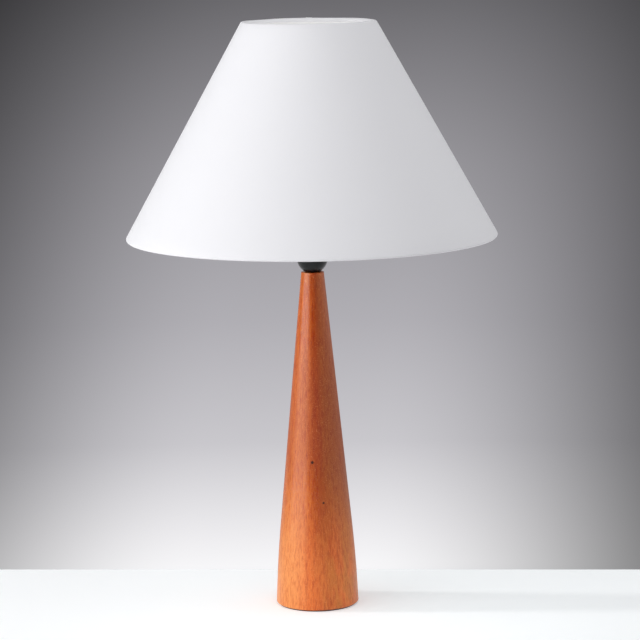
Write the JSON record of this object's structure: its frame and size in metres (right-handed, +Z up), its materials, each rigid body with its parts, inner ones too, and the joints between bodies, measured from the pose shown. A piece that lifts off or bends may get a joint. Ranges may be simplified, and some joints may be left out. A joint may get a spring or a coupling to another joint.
{
  "type": "column table lamp",
  "caption": "Table lamp with a turned tapered wood column, a domed lampholder with its bulb, and a wide coned fabric shade on a wire spider.",
  "frame": {"origin": "middle of the foot, on the surface that the lamp stands on", "axes": "+Z up along the column's axis; +Y the back, where the cord outlet is; +X to the right seen from the front"},
  "size_m": [0.4709, 0.471, 0.7498],
  "materials": {
    "teak": "satin",
    "felt": "matte",
    "iron": "matte",
    "steel": "satin",
    "bush_plastic": "satin",
    "bakelite": "gloss",
    "brass": "satin",
    "porcelain": "satin",
    "white_wire": "satin",
    "lining": "satin",
    "shade_fabric": "matte",
    "solder": "satin",
    "black_glass": "gloss",
    "cap_metal": "satin",
    "white_plastic": "satin",
    "opal_plastic": "satin",
    "plate_metal": "matte",
    "chip_resin": "matte"
  },
  "bodies": {
    "base": {"column": "teak", "felt_pad": "felt", "base_weight": "iron", "threaded_tube": "steel", "tube_washer": "steel", "tube_nut": "steel", "cord_bush": "bush_plastic", "holder_cap": "bakelite", "cap_bush": "brass", "cap_lock_screw": "steel", "contact_block": "porcelain", "centre_contact": "brass", "terminal_screws": "brass", "shell_screws": "brass", "thread_shell": "brass", "holder_skirt": "bakelite"},
    "shade": {"fitter_ring": "white_wire", "spider_arms": "white_wire", "bottom_ring": "white_wire", "top_ring": "white_wire", "shade_lining": "lining", "shade_cover": "shade_fabric"},
    "clamp_ring": {"shade_ring": "bakelite"},
    "bulb_foot": {"bulb_tip": "solder"},
    "bulb": {"bulb_insulator": "black_glass", "bulb_cap": "cap_metal", "bulb_housing": "white_plastic", "bulb_globe": "opal_plastic", "light_plate": "plate_metal", "light_chips": "chip_resin"}
  },
  "joints": [
    {"name": "shade_turn", "type": "hinge", "parent": "base", "child": "shade", "pos_m": [0, 0, 0.481], "axis": [0, 0, 1], "continuous": true},
    {"name": "ring_rise", "type": "slide", "parent": "base", "child": "clamp_ring", "axis": [0, 0, 1], "range_m": [0, 0.01]},
    {"name": "bulb_rise", "type": "slide", "parent": "base", "child": "bulb_foot", "axis": [0, 0, 1], "range_m": [0, 0.0218]},
    {"name": "bulb_turn", "type": "hinge", "parent": "bulb_foot", "child": "bulb", "pos_m": [0, 0, 0.4635], "axis": [0, 0, 1], "range_deg": [0, 2160]}
  ],
  "couplings": [
    {"joint": "bulb_rise", "follows": "bulb_turn", "m_per_rad": 0.0005775}
  ]
}
